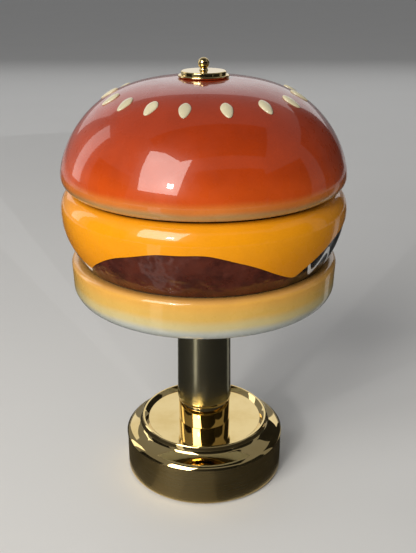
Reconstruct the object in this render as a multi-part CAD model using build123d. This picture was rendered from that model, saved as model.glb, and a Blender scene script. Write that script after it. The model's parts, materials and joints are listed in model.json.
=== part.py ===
"""Cordless table lamp whose glass shade is shaped like a hamburger.

The shade is three flanged glass shells (bottom bun, patty ring, top bun) with a cheese slice bonded over
the patty ring.
They stack on a tray at the head of a brass stem, and a finial on a central rod clamps them from above.
The stem holds one rechargeable cell. The stepped brass base holds the ballast, the charger board, a
charging socket and a push button. Lengths are in millimetres. +Z is up, the origin is the middle of the
foot, and the front of the lamp faces -Y, so the button and the charging socket are on the +Y side.
"""

import math
import os

from build123d import *

# ---- clearances ----------------------------------------------------------------------------------
FIT = 0.05          # radial gap of a located or turning fit
EASE = 0.15         # radial gap of a loose fit
SEAT = 0.02         # gap between faces that lie on each other

# ---- base ----------------------------------------------------------------------------------------
PAD_T = 1.2         # foot pad, which lifts the drum off the table
PAD_BORE_R = 30.0
DRUM_R = 50.0
DRUM_WALL = 2.5
PAD_R = DRUM_R - 5
DRUM_TOP = 24.4     # height of the drum's upper edge above the table
COVER_T = 2.0
COVER_LIP = 1.5     # how far the drum's foot turns in over the cover
RING_R = DRUM_R + 0.3               # the polished ring stands a little proud of the drum
RING_EDGE = 0.8     # its short upright edge
CREASE_R, CREASE_UP = RING_R - 3.8, 3.7     # first bevel ends here, above the drum
COVE_R, COVE_UP = CREASE_R - 4.3, 6.0       # second bevel ends here, and the cove starts
RIM_R, RIM_UP = COVE_R - 1.8, 10.9          # crest of the raised rim
RIM_LAND = 1.0      # flat of the crest
PLATE_R = RIM_R - 4.3               # mirror plate inside the rim
PLATE_T = 2.0
PLATE_DROP = 2.6    # plate lies this far below the crest
LEDGE = 2.2         # the ring's ledge under the plate's edge
BALLAST_BOTTOM = 20.0
BALLAST_R = DRUM_R - DRUM_WALL - 1.5
COVER_SCREW_PCD = 48.0
COVER_SCREWS = 3
SCREW_R = 1.5       # M3
SCREW_HEAD_R = 2.75
SCREW_HEAD_T = 1.6
BOSS_R = 4.0

# ---- electronics ---------------------------------------------------------------------------------
PORT_Z = 12.3       # height of the socket, the indicator and the button
BOARD_T = 1.6
BOARD_X = (-13.0, 8.0)
BOARD_Y = (DRUM_R - 30, DRUM_R - 5)
LEAD_START_Y = BOARD_Y[0] + 1       # where the leads leave the connector
SOCKET_W, SOCKET_H, SOCKET_LEN = 8.9, 3.2, 7.3
SOCKET_WALL = 0.3
SOCKET_INSET = 1.4  # socket mouth behind the drum's face
BEZEL_W, BEZEL_H = 12.4, 6.4
LIGHT_X, LIGHT_R = -12.0, 1.2
BUTTON_ANGLE = 28.0  # from +Y towards +X
BUTTON_R = 3.5
BUTTON_PROUD = 1.6
BUTTON_TRAVEL = 1.5
HOUSING_R = BUTTON_R + 1.5
HOUSING_LEN = 13.2
FLANGE_R = HOUSING_R + 1.5
FLANGE_T = 1.4
SPRING_WIRE_R = 0.25
SPRING_TURNS = 4

# ---- stem ----------------------------------------------------------------------------------------
COLLAR_R = 16.4     # polished collar between plate and tube
COLLAR_H = 14.7
FERRULE_H = 2.6
TUBE_R_LOW = 17.05
TUBE_R_TOP = 16.2
TUBE_LEN = 69.5
SPIGOT_R = 12.0     # threaded end of the collar below the plate
SPIGOT_BORE_R = 8.0
NUT_T = 4.0
NUT_FLATS = 30.0
CELL_R = 10.6       # 21700 lithium-ion cell
CHAMBER_R = CELL_R + 2.7            # room for cell and lead inside the collar
TUBE_BORE_R = CHAMBER_R + 1.5
CELL_LEN = 70.0
CUP_T = 2.0
LEAD_R = 0.8
LEAD_X = CELL_R + 1.4               # the lamp lead runs beside the cell
HEAD_FLANGE_T = 1.0
HEAD_PLUG = 6.0

# ---- tray and light source -----------------------------------------------------------------------
TRAY_R = 50.0
TRAY_T = 2.0
TRAY_LIP_H = 3.2    # upturned lip that centres the glass
VENTS = 12
VENT_R = 2.5
VENT_PCD = 60.0
TRAY_SCREW_PCD = 2 * (TUBE_BORE_R - SCREW_R - 1.3)      # 1.3 of plug is left outside each screw
GASKET_T = 1.0
HUB_R = 16.2
HUB_T = 4.0
POST_FLATS = 15.0
POST_H = 78.5
ROD_R = 3.0
STRIP_W, STRIP_T, STRIP_LEN = 8.0, 1.0, 62.0
CHIP = 3.0
CHIPS = 6
DIFFUSER_WALL = 1.6
DIFFUSER_H = 89.5

# ---- shade ---------------------------------------------------------------------------------------
GLASS = 3.0
HOLE_R = 44.0       # opening in the bottom bun
CORNER_R = 9.5      # lower edge of the bottom bun
PAN_R = 77.8        # bottom bun
PAN_H = 24.4
PAN_SHOULDER_R = 3.0
PAN_FLARE = 0.4     # the side leans out this much towards the top
FLANGE_IN_R = 66.5  # inner radius of the turned-in glass flanges
FILL_R = 82.5       # cheese at its widest
FILL_DROP = 29.8    # from the widest point down to the bottom bun
FILL_RISE = 11.1    # from the widest point up to the upper joint
FILL_SIDE_R = 51.0  # radius of the side below the widest point
GROOVE_R = 74.1     # both upper shells meet at this radius
CHEESE_T = 0.8
DOME_R = 81.4       # top bun
DOME_H = 52.0
DOME_N, DOME_M = 3.0, 1.6           # exponents of the dome's curve across and up
LIP_H = 7.4         # from the dome's widest point down to the upper joint
CROWN_R = 6.0       # hole in the crown
CORNER_AZIMUTH = 38.5               # one corner of the cheese slice, from the front towards +X
CORNER_UP = 6.8     # lowest point of a corner above the bottom bun
ARCH_UP = 27.8      # highest point of the arch between two corners, above the bottom bun
SEED_RING_R = 52.7
SEED_LEN, SEED_W, SEED_PROUD = 11.3, 6.2, 1.3
SEED_FRONT = (-70, -50, -30, -10, 13, 37, 61, 84)   # hand-laid spacing round the front half, degrees
SEED_BACK = (107, 130, 152, 174, 196, 219, 243, 267)

# ---- finial --------------------------------------------------------------------------------------
CAP_R = 12.6
CAP_T = 2.0
CAP_FLANGE_R = 14.3
CAP_FLANGE_T = 1.4
CAP_BOSS_R = 5.0
THREAD_ENGAGED = 5.0
KNOB_R = 3.15
KNOB_UP = 3.9       # ball's centre above the cap
NECK_R = 2.05
WASHER_R = 11.0
WASHER_T = 0.6

# ---- heights that follow -------------------------------------------------------------------------
RIM_Z = DRUM_TOP + RIM_UP
PLATE_TOP = RIM_Z - PLATE_DROP
PLATE_UNDER = PLATE_TOP - PLATE_T
COVER_TOP = PAD_T + COVER_T
BALLAST_TOP = PLATE_UNDER - SEAT
BOARD_TOP = PORT_Z - SOCKET_H / 2
COLLAR_TOP = PLATE_TOP + COLLAR_H
TUBE_BOTTOM = COLLAR_TOP + FERRULE_H
TUBE_TOP = TUBE_BOTTOM + TUBE_LEN
FLOOR_Z = PLATE_TOP + 1.3           # floor of the cell chamber
CELL_Z = FLOOR_Z + 7.0
TRAY_Z = TUBE_TOP + HEAD_FLANGE_T
TRAY_TOP = TRAY_Z + TRAY_T
PAN_Z = TRAY_TOP + GASKET_T         # underside of the bottom bun
PAN_TOP = PAN_Z + PAN_H
RING_Z = PAN_TOP + 0.5              # foot of the patty ring, on its gasket
FILL_Z = PAN_TOP + FILL_DROP        # height of the widest point of the filling
RING_TOP = FILL_Z + FILL_RISE
BUN_Z = RING_TOP + GASKET_T         # underside of the top bun
DOME_Z = BUN_Z + LIP_H              # widest point of the top bun
CROWN_Z = DOME_Z + DOME_H
CAP_Z = CROWN_Z + 0.1
CAP_TOP = CAP_Z + CAP_FLANGE_T + CAP_T
HUB_TOP = TRAY_TOP + HUB_T
POST_TOP = HUB_TOP + POST_H
DIFFUSER_R = HUB_R + EASE + DIFFUSER_WALL
BOSS_BOTTOM = CAP_Z - 5.5
ROD_TOP = BOSS_BOTTOM + THREAD_ENGAGED


# ---- helpers -------------------------------------------------------------------------------------
def turned(*edges):
    """Solid of revolution about Z. The edges are a closed outline in (radius, height)."""
    return revolve(Plane.XZ * make_face(Curve() + list(edges)), Axis.Z)


def turned_polygon(*points):
    """Solid of revolution about Z from a polygon of (radius, height) corners."""
    return turned(Polyline(*points, close=True))


def tube(outer, inner, low, high):
    """Plain ring about Z between two heights."""
    return turned_polygon((inner, low), (outer, low), (outer, high), (inner, high))


def rod(radius, low, high, x=0.0, y=0.0):
    """Upright cylinder between two heights."""
    return Pos(x, y, (low + high) / 2) * Cylinder(radius, high - low)


def box(x, y, z):
    """Box from three (low, high) pairs."""
    size = [side[1] - side[0] for side in (x, y, z)]
    middle = [(side[0] + side[1]) / 2 for side in (x, y, z)]
    return Pos(*middle) * Box(*size)


def polar(radius, degrees):
    """Point on a circle about Z, the angle counted from +X towards +Y."""
    turn = math.radians(degrees)
    return radius * math.cos(turn), radius * math.sin(turn)


def group(solids):
    """Several separate solids kept in one node."""
    return Compound(children=[part for shape in solids for part in shape.solids()])


def quarter(centre, across, up, low_side=False):
    """Quarter ellipse beside the axis, from the widest point to straight above (or below) the centre."""
    return EllipticalCenterArc(centre, across, up, 270 if low_side else 0, arc_size=90)


# ---- base ----------------------------------------------------------------------------------------
def on_back(shape):
    """Turns a piece laid along +Y to the push button's place."""
    return Rot(0, 0, -BUTTON_ANGLE) * shape


def along_y(radius, low, high, x=0.0, z=PORT_Z):
    """Cylinder along Y between two distances from the lamp's axis."""
    return Pos(x, (low + high) / 2, z) * Rot(90, 0, 0) * Cylinder(radius, high - low)


def stadium(width, height, low, high, z=PORT_Z):
    """Round-ended bar along Y, centred on x = 0."""
    flat = Plane.XZ.offset(-low) * Pos(0, z) * SlotOverall(width, height)
    return extrude(flat, amount=-(high - low))


FLANGE_SEAT = math.sqrt(DRUM_R**2 - FLANGE_R**2) - 0.4      # flat spot for the button's flange
NUT_SEAT = math.sqrt((DRUM_R - DRUM_WALL) ** 2 - (FLANGE_R + 0.6) ** 2)


def base_drum():
    """Brushed brass drum with a foot that turns in over the cover, pierced at the back."""
    inner = DRUM_R - DRUM_WALL
    shell = turned_polygon(
        (inner - COVER_LIP, COVER_TOP + SEAT),
        (inner - COVER_LIP, COVER_TOP + 1),
        (inner, COVER_TOP + 1 + COVER_LIP),
        (inner, DRUM_TOP),
        (DRUM_R, DRUM_TOP),
        (DRUM_R, PAD_T + 0.4),
        (DRUM_R - 0.4, PAD_T),
        (inner, PAD_T),
        (inner, COVER_TOP + SEAT),
    )
    shell -= stadium(BEZEL_W, BEZEL_H, inner - 5, DRUM_R + 5)
    shell -= along_y(LIGHT_R + FIT, inner - 5, DRUM_R + 5, x=LIGHT_X)
    shell -= on_back(along_y(HOUSING_R + FIT, inner - 5, DRUM_R + 5))
    shell -= on_back(along_y(FLANGE_R + EASE, FLANGE_SEAT, DRUM_R + 5))
    return shell


def base_ring():
    """Polished ring: a double bevel, a cove, and a raised rim that slopes in to the mirror plate."""
    edge = (RING_R, DRUM_TOP + RING_EDGE)
    crease = (CREASE_R, DRUM_TOP + CREASE_UP)
    cove = (COVE_R, DRUM_TOP + COVE_UP)
    rim_out, rim_in = (RIM_R, RIM_Z - 0.6), (RIM_R - 0.6 - RIM_LAND, RIM_Z)
    plate_edge = PLATE_R + FIT
    bevel_mid = ((edge[0] + crease[0]) / 2 + 0.35, (edge[1] + crease[1]) / 2 + 0.35)
    cove_mid = ((cove[0] + rim_out[0]) / 2 - 0.45, (cove[1] + rim_out[1]) / 2 - 0.6)
    return turned(
        Line((RING_R, DRUM_TOP + SEAT), edge),
        ThreePointArc(edge, bevel_mid, crease),
        Line(crease, cove),
        ThreePointArc(cove, cove_mid, rim_out),
        Line(rim_out, (RIM_R - 0.6, RIM_Z)),
        Line((RIM_R - 0.6, RIM_Z), rim_in),
        Line(rim_in, (plate_edge, PLATE_TOP)),
        Line((plate_edge, PLATE_TOP), (plate_edge, PLATE_UNDER)),
        Line((plate_edge, PLATE_UNDER), (PLATE_R - LEDGE, PLATE_UNDER)),
        Line((PLATE_R - LEDGE, PLATE_UNDER), (PLATE_R - LEDGE, DRUM_TOP + SEAT)),
        Line((PLATE_R - LEDGE, DRUM_TOP + SEAT), (RING_R, DRUM_TOP + SEAT)),
    )


def base_plate():
    """Mirror-polished plate inside the rim, bored for the collar's threaded end."""
    return tube(PLATE_R, SPIGOT_R + FIT, PLATE_UNDER + SEAT, PLATE_TOP)


def ballast():
    """Cast-iron weight under ring and plate, bored for the stem and for the cover screws."""
    waist = PLATE_R - LEDGE - EASE
    weight = turned_polygon(
        (SPIGOT_R + FIT, BALLAST_BOTTOM),
        (BALLAST_R, BALLAST_BOTTOM),
        (BALLAST_R, DRUM_TOP - SEAT),
        (waist, DRUM_TOP - SEAT),
        (waist, BALLAST_TOP),
        (SPIGOT_R + FIT, BALLAST_TOP),
    )
    for x, y in cover_screw_places():
        weight -= rod(SCREW_R + FIT, BALLAST_BOTTOM - 1, BALLAST_BOTTOM + 6, x, y)
    return weight


def cover_screw_places():
    """Centres of the cover screws: one in front, the rest evenly spaced."""
    return [polar(COVER_SCREW_PCD / 2, -90 + k * 360 / COVER_SCREWS) for k in range(COVER_SCREWS)]


def bottom_cover():
    """Moulded cover with tubular bosses for its screws and posts for the board."""
    cover = rod(DRUM_R - DRUM_WALL - EASE, PAD_T, COVER_TOP)
    for x, y in cover_screw_places():
        cover += rod(BOSS_R, PAD_T, BALLAST_BOTTOM - SEAT, x, y)
    for x in BOARD_X:
        for y in BOARD_Y:
            inset_x = x + (3 if x == BOARD_X[0] else -3)
            inset_y = y + (3 if y == BOARD_Y[0] else -6)
            cover += rod(1.8, PAD_T, BOARD_TOP - BOARD_T - SEAT, inset_x, inset_y)
    for x, y in cover_screw_places():
        cover -= rod(SCREW_R + EASE, PAD_T - 1, BALLAST_BOTTOM + 1, x, y)
        cover -= rod(SCREW_HEAD_R + EASE, PAD_T - 1, PAD_T + SCREW_HEAD_T, x, y)
    return cover


def cover_screws():
    """Screws that pull the cover up to the ballast."""
    screws = []
    for x, y in cover_screw_places():
        head = rod(SCREW_HEAD_R, PAD_T + 0.1, PAD_T + SCREW_HEAD_T - SEAT, x, y)
        socket = Pos(x, y, PAD_T + 0.1) * extrude(RegularPolygon(1.2, 6), amount=0.9)
        screws.append(head + rod(SCREW_R, PAD_T + 1, BALLAST_BOTTOM + 5, x, y) - socket)
    return group(screws)


def foot_pad():
    """Soft ring that the lamp stands on."""
    return tube(PAD_R, PAD_BORE_R, 0, PAD_T - SEAT)


def control_board():
    """Charger and dimmer board on the cover's posts."""
    return box(BOARD_X, BOARD_Y, (BOARD_TOP - BOARD_T, BOARD_TOP - SEAT))


def board_components():
    """Inductor, controller, capacitors and lead connector standing on the board."""
    start = LEAD_START_Y
    return group([
        box((-11.5, -5.5), (start + 6, start + 12), (BOARD_TOP, BOARD_TOP + 3)),
        box((-11, -7), (start + 14, start + 18), (BOARD_TOP, BOARD_TOP + 1)),
        rod(2.2, BOARD_TOP, BOARD_TOP + 4.5, 4.5, start + 14),
        rod(2.2, BOARD_TOP, BOARD_TOP + 4.5, 4.5, start + 9),
        box((-9, 1), (start + 2 * EASE, start + 4), (BOARD_TOP, BOARD_TOP + 3.2)),
    ])


def usb_socket():
    """Metal-shelled charging socket with its contact tongue."""
    mouth = DRUM_R - SOCKET_INSET
    back = mouth - SOCKET_LEN
    shell = stadium(SOCKET_W, SOCKET_H, back, mouth)
    shell -= stadium(SOCKET_W - 2 * SOCKET_WALL, SOCKET_H - 2 * SOCKET_WALL, back + 1, mouth + 1)
    shell += box((-3.3, 3.3), (back + 0.5, mouth - 1.2), (PORT_Z - 0.35, PORT_Z + 0.35))
    return shell


def port_bezel():
    """Frame round the socket, flush with the drum's face."""
    start = DRUM_R - DRUM_WALL - 0.6
    frame = stadium(BEZEL_W - 2 * FIT, BEZEL_H - 2 * FIT, start, DRUM_R + 2)
    frame -= stadium(SOCKET_W + 0.6, SOCKET_H + 0.6, start - 1, DRUM_R + 3)
    return frame & rod(DRUM_R, 0, DRUM_TOP)


def charge_light():
    """Light pipe of the charge indicator."""
    pipe = along_y(LIGHT_R, DRUM_R - 8, DRUM_R + 2, x=LIGHT_X)
    return pipe & rod(DRUM_R - 0.1, 0, DRUM_TOP)


CHAMBER_FRONT = FLANGE_SEAT + FLANGE_T - 5.6    # where the plunger's shoulder stops
CHAMBER_BACK = FLANGE_SEAT - HOUSING_LEN + 1.5


def button_housing():
    """Flanged barrel of the push button."""
    barrel = along_y(FLANGE_R, FLANGE_SEAT + SEAT, FLANGE_SEAT + FLANGE_T)
    barrel += along_y(HOUSING_R, FLANGE_SEAT - HOUSING_LEN, FLANGE_SEAT + FLANGE_T)
    barrel -= along_y(BUTTON_R + FIT, CHAMBER_BACK, DRUM_R + 5)
    barrel -= along_y(BUTTON_R + 1, CHAMBER_BACK, CHAMBER_FRONT)
    return on_back(barrel)


def button_nut():
    """Hexagon nut that holds the housing from inside the drum."""
    flat = RegularPolygon(HOUSING_R + 1.2, 6, major_radius=False)
    hexagon = Plane.XZ.offset(-(NUT_SEAT - 2)) * Pos(0, PORT_Z) * flat
    return on_back(extrude(hexagon, amount=-2 + SEAT) - along_y(HOUSING_R + FIT, 0, DRUM_R))


def power_button():
    """Plunger with a shoulder that keeps it in the housing."""
    front = FLANGE_SEAT + FLANGE_T + BUTTON_PROUD
    plunger = along_y(BUTTON_R, CHAMBER_FRONT - 1, front)
    plunger = chamfer(plunger.edges().filter_by(GeomType.CIRCLE).sort_by(Axis.Y)[-1], 0.4)
    plunger += along_y(BUTTON_R + 0.85, CHAMBER_FRONT - 1.5, CHAMBER_FRONT - SEAT)
    return on_back(plunger)


def button_spring():
    """Coil spring that returns the plunger."""
    low, high = CHAMBER_BACK + SPRING_WIRE_R + 0.1, CHAMBER_FRONT - 1.5 - SPRING_WIRE_R - 0.1
    radius = BUTTON_R - 0.4
    line = Helix((high - low) / SPRING_TURNS, high - low, radius)
    coil = sweep(Plane(line @ 0, z_dir=line % 0) * Circle(SPRING_WIRE_R), path=line)
    return on_back(Pos(0, low, PORT_Z) * Rot(-90, 0, 0) * coil)


# ---- stem ----------------------------------------------------------------------------------------
def stem_collar():
    """Polished collar: it stands on the plate, its threaded end passes through the ballast."""
    spigot_low = BALLAST_BOTTOM - NUT_T - 0.5
    spigot_up = TUBE_BORE_R - FIT
    return turned_polygon(
        (SPIGOT_BORE_R, spigot_low),
        (SPIGOT_R, spigot_low),
        (SPIGOT_R, PLATE_TOP + SEAT),
        (COLLAR_R, PLATE_TOP + SEAT),
        (COLLAR_R, COLLAR_TOP),
        (spigot_up, COLLAR_TOP),
        (spigot_up, COLLAR_TOP + 7),
        (CHAMBER_R, COLLAR_TOP + 7),
        (CHAMBER_R, FLOOR_Z),
        (SPIGOT_BORE_R, FLOOR_Z),
    )


def stem_nut():
    """Thin hexagon nut under the ballast."""
    low = BALLAST_BOTTOM - NUT_T
    nut = Pos(0, 0, low) * extrude(RegularPolygon(NUT_FLATS / 2, 6, major_radius=False), amount=NUT_T - SEAT)
    return nut - rod(SPIGOT_R + FIT, low - 1, low + NUT_T + 1)


def tube_ferrule():
    """Polished ring that closes the foot of the tube."""
    return turned_polygon(
        (TUBE_BORE_R, COLLAR_TOP + SEAT),
        (COLLAR_R + 0.1, COLLAR_TOP + SEAT),
        (TUBE_R_LOW, COLLAR_TOP + FERRULE_H - 0.5),
        (TUBE_R_LOW, TUBE_BOTTOM - SEAT),
        (TUBE_BORE_R, TUBE_BOTTOM - SEAT),
    )


def stem_tube():
    """Brushed tube, slightly slimmer at the top."""
    top = TUBE_TOP - SEAT
    return turned_polygon(
        (TUBE_BORE_R, TUBE_BOTTOM),
        (TUBE_R_LOW, TUBE_BOTTOM),
        (TUBE_R_TOP, top),
        (TUBE_BORE_R, top),
    )


def tray_screw_places():
    """Centres of the three screws that hold hub and tray to the stem head."""
    return [polar(TRAY_SCREW_PCD / 2, 60 + 120 * k) for k in range(3)]


def stem_head():
    """Flanged plug in the head of the tube, bored for the rod, the lead and the tray screws."""
    head = rod(TUBE_BORE_R - FIT, TUBE_TOP - HEAD_PLUG, TRAY_Z - SEAT)
    head += rod(TUBE_R_TOP - 0.1, TUBE_TOP, TRAY_Z - SEAT)
    head -= rod(ROD_R + FIT, TUBE_TOP - HEAD_PLUG - 1, TRAY_Z + 1)
    head -= rod(LEAD_R + EASE, TUBE_TOP - HEAD_PLUG - 1, TRAY_Z + 1, LEAD_X)
    for x, y in tray_screw_places():
        head -= rod(SCREW_R + FIT, TRAY_Z - 5, TRAY_Z + 1, x, y)
    return head


def lower_cell_cup():
    """Slotted foot that holds the cell off the chamber floor."""
    cup = tube(CELL_R + 0.5, CELL_R - 1.5, FLOOR_Z + SEAT, CELL_Z - CUP_T)
    cup += rod(CELL_R + 0.5, CELL_Z - CUP_T, CELL_Z - SEAT)
    slot = 3 * LEAD_R
    return cup - box((0, CELL_R + 5), (-slot, slot), (FLOOR_Z - 1, CELL_Z - CUP_T))


def battery_cell():
    """Rechargeable cell with its raised end contact."""
    return rod(CELL_R, CELL_Z, CELL_Z + CELL_LEN - 1) + rod(3.5, CELL_Z, CELL_Z + CELL_LEN)


def upper_cell_cup():
    """Disc between the cell's contact and the stem head."""
    low = CELL_Z + CELL_LEN + SEAT
    return tube(CELL_R + 0.4, ROD_R + 0.5, low, TUBE_TOP - HEAD_PLUG - SEAT)


def lead(points, radii):
    """Insulated lead along straight runs joined by arcs."""
    path = FilletPolyline(*points, radius=radii)
    return sweep(Plane(path @ 0, z_dir=path % 0) * Circle(LEAD_R), path=path)


def battery_lead():
    """Lead from the board's connector up to the foot of the cell."""
    run = BOARD_TOP + 1.6
    return lead([(-7, LEAD_START_Y, run), (-4.5, 0, run), (-4.5, 0, CELL_Z - CUP_T - 0.5)], 4)


def lamp_lead():
    """Lead from the board's connector, past the cell, to the light source."""
    run, chamber = BOARD_TOP + 1.6, FLOOR_Z + 1.5
    end = (POST_FLATS / 2 + STRIP_T + LEAD_R + 0.4, 30)
    return lead([(-1, LEAD_START_Y, run), (4.5, 0, run), (4.5, 0, chamber), (LEAD_X, 0, chamber + 1),
                 (LEAD_X, 0, HUB_TOP + 4), (*polar(*end), HUB_TOP + 11)], [4, 2, 2, 2])


# ---- tray and light source -----------------------------------------------------------------------
def shade_tray():
    """Tray on the stem head: its lip centres the glass, its vents let warm air through."""
    lip = HOLE_R - 0.6
    tray = rod(TRAY_R, TRAY_Z, TRAY_TOP)
    tray += tube(lip, lip - 1.5, TRAY_TOP - 0.5, TRAY_TOP + TRAY_LIP_H)
    tray -= rod(ROD_R + EASE, TRAY_Z - 1, TRAY_TOP + 1)
    tray -= rod(LEAD_R + EASE, TRAY_Z - 1, TRAY_TOP + 1, LEAD_X)
    for k in range(VENTS):
        tray -= rod(VENT_R, TRAY_Z - 1, TRAY_TOP + 1, *polar(VENT_PCD / 2, k * 360 / VENTS))
    for x, y in tray_screw_places():
        tray -= rod(SCREW_R + EASE, TRAY_Z - 1, TRAY_TOP + 1, x, y)
    return tray


def tray_screws():
    """Screws through hub and tray into the stem head."""
    head_top = HUB_TOP + SCREW_HEAD_T
    return group([
        rod(SCREW_R, TRAY_Z - 4.5, head_top, x, y) + rod(SCREW_HEAD_R, HUB_TOP + SEAT, head_top, x, y)
        for x, y in tray_screw_places()
    ])


def seat_gasket():
    """Soft ring between tray and glass."""
    return tube(TRAY_R - 0.5, HOLE_R - 0.4, TRAY_TOP + SEAT, PAN_Z - SEAT)


def heat_sink():
    """Hexagonal aluminium post on a round hub; the light strips are bonded to its faces."""
    post = rod(HUB_R, TRAY_TOP + SEAT, HUB_TOP)
    hexagon = RegularPolygon(POST_FLATS / 2, 6, major_radius=False)
    post += Pos(0, 0, HUB_TOP) * extrude(hexagon, amount=POST_H)
    post -= rod(ROD_R + EASE, TRAY_Z, POST_TOP + 1)
    post -= rod(LEAD_R + EASE, TRAY_Z, POST_TOP + 1, LEAD_X)
    for x, y in tray_screw_places():
        post -= rod(SCREW_R + EASE, TRAY_Z, HUB_TOP + 1, x, y)
        post -= rod(SCREW_HEAD_R + EASE, HUB_TOP, HUB_TOP + SCREW_HEAD_T + EASE, x, y)
    return post


def strip_faces():
    """Placements of the six faces of the post, local +X pointing out of the face."""
    return [Rot(0, 0, 30 + 60 * k) * Pos(POST_FLATS / 2, 0, HUB_TOP + 10) for k in range(6)]


def led_boards():
    """Six strips, one on each face of the post."""
    strip = box((SEAT, STRIP_T), (-STRIP_W / 2, STRIP_W / 2), (0, STRIP_LEN))
    return group([place * strip for place in strip_faces()])


def led_chips():
    """Light-emitting chips along each strip."""
    pitch = STRIP_LEN / CHIPS
    chip = box((STRIP_T + SEAT, STRIP_T + 0.7), (-CHIP / 2, CHIP / 2), (-CHIP / 2, CHIP / 2))
    return group([
        place * Pos(0, 0, (k + 0.5) * pitch) * chip for place in strip_faces() for k in range(CHIPS)
    ])


def diffuser():
    """Opal tube over the light strips, closed at the top round the rod."""
    top = TRAY_TOP + DIFFUSER_H
    body = rod(DIFFUSER_R, TRAY_TOP + SEAT, top)
    body = fillet(body.edges().filter_by(GeomType.CIRCLE).sort_by(Axis.Z)[-1], 6)
    body -= rod(DIFFUSER_R - DIFFUSER_WALL, TRAY_TOP - 1, top - 6)
    body -= rod(DIFFUSER_R - DIFFUSER_WALL - 5, TRAY_TOP - 1, top - DIFFUSER_WALL)
    return body - rod(ROD_R + EASE, TRAY_TOP, top + 1)


def shade_rod():
    """Threaded rod from the stem head to the finial."""
    return rod(ROD_R, TUBE_TOP - HEAD_PLUG + 0.5, ROD_TOP)


def rod_nut():
    """Nut that clamps the post on the rod."""
    nut = Pos(0, 0, POST_TOP + SEAT) * extrude(RegularPolygon(5, 6, major_radius=False), amount=3)
    return nut - rod(ROD_R + FIT, POST_TOP - 1, POST_TOP + 5)


# ---- shade ---------------------------------------------------------------------------------------
def bottom_bun():
    """Glass pan with a round lower edge and a turned-in upper flange."""
    def outline(skin):
        """Outer face of the pan, moved inwards by skin, from the shoulder down to the floor."""
        radius, shoulder = PAN_R - skin, PAN_SHOULDER_R - skin * 0.8
        top, low, corner = PAN_TOP - skin, PAN_Z + skin, CORNER_R - skin
        lean = radius + PAN_FLARE
        return [
            CenterArc((lean - shoulder, top - shoulder), shoulder, 0, 90),
            Line((lean, top - shoulder), (radius, low + corner)),
            CenterArc((radius - corner, low + corner), corner, 270, 90),
        ], (lean - shoulder, top), (radius - corner, low)

    outer, top_out, low_out = outline(0)
    inner, top_in, low_in = outline(GLASS)
    return turned(
        *outer,
        Line(top_out, (FLANGE_IN_R, PAN_TOP)),
        Line((FLANGE_IN_R, PAN_TOP), (FLANGE_IN_R, PAN_TOP - GLASS)),
        Line((FLANGE_IN_R, PAN_TOP - GLASS), top_in),
        *inner,
        Line(low_in, (HOLE_R, PAN_Z + GLASS)),
        Line((HOLE_R, PAN_Z + GLASS), (HOLE_R, PAN_Z)),
        Line((HOLE_R, PAN_Z), low_out),
    )


def side_radius(height, skin=0.0):
    """Radius of the filling's side below its widest point, moved inwards by skin."""
    reach = FILL_SIDE_R - skin
    return FILL_R - FILL_SIDE_R + math.sqrt(reach**2 - (FILL_Z - height) ** 2)


def filling_side(skin, low):
    """Shoulder and side of the filling, moved inwards by skin, down to a height: edges, top and foot."""
    top = (GROOVE_R - min(skin, CHEESE_T), RING_TOP - max(0.0, skin - CHEESE_T))
    across, rise = FILL_R - skin - top[0], top[1] - FILL_Z
    widest, foot = (FILL_R - skin, FILL_Z), (side_radius(low, skin), low)
    middle = (side_radius((FILL_Z + low) / 2, skin), (FILL_Z + low) / 2)
    return [
        quarter((top[0], FILL_Z), across, rise),
        ThreePointArc(widest, middle, foot),
    ], top, foot


def patty_ring():
    """Glass ring with a turned-in upper flange: the patty shows between the corners of the cheese."""
    outer, top_out, foot_out = filling_side(CHEESE_T, RING_Z)
    inner, top_in, foot_in = filling_side(CHEESE_T + GLASS, RING_Z)
    return turned(
        *outer,
        Line(foot_out, foot_in),
        *inner,
        Line(top_in, (FLANGE_IN_R, top_in[1])),
        Line((FLANGE_IN_R, top_in[1]), (FLANGE_IN_R, top_out[1])),
        Line((FLANGE_IN_R, top_out[1]), top_out),
    )


def arch_cutter():
    """Wedge that opens one arch between two corners of the cheese, in front of the lamp."""
    reach = FILL_R * math.sin(math.radians(45))
    low, corner, peak = PAN_TOP - 5, PAN_TOP + CORNER_UP, PAN_TOP + ARCH_UP
    outline = [
        Line((-reach, corner), (-reach, low)),
        Line((-reach, low), (reach, low)),
        Line((reach, low), (reach, corner)),
        Spline((reach, corner), (reach * 0.86, corner + 2.4), (reach * 0.62, corner + 11.5), (0, peak),
               (-reach * 0.62, corner + 14.5), (-reach * 0.86, corner + 3.4), (-reach, corner)),
    ]
    return extrude(Plane.XZ * make_face(Curve() + outline), amount=FILL_R + 5)


def cheese_slice():
    """Thin slice bonded over the ring: four corners hang down, four arches leave the patty bare."""
    outer, top_out, foot_out = filling_side(0, PAN_TOP + 1)
    inner, top_in, foot_in = filling_side(CHEESE_T - SEAT, PAN_TOP + 1)
    slab = turned(*outer, Line(foot_out, foot_in), *inner, Line(top_in, top_out))
    for k in range(4):
        slab -= Rot(0, 0, CORNER_AZIMUTH - 45 + 90 * k) * arch_cutter()
    return slab


def dome_radius(height, skin=0.0):
    """Radius of the top bun above its widest point, moved inwards by skin."""
    share = min(1.0, (height - DOME_Z) / (DOME_H - skin))
    return (DOME_R - skin) * (1 - share**DOME_M) ** (1 / DOME_N)


def dome_height(radius, skin=0.0):
    """Height of the top bun's surface at a radius, moved inwards by skin."""
    share = min(1.0, radius / (DOME_R - skin))
    return DOME_Z + (DOME_H - skin) * (1 - share**DOME_N) ** (1 / DOME_M)


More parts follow.
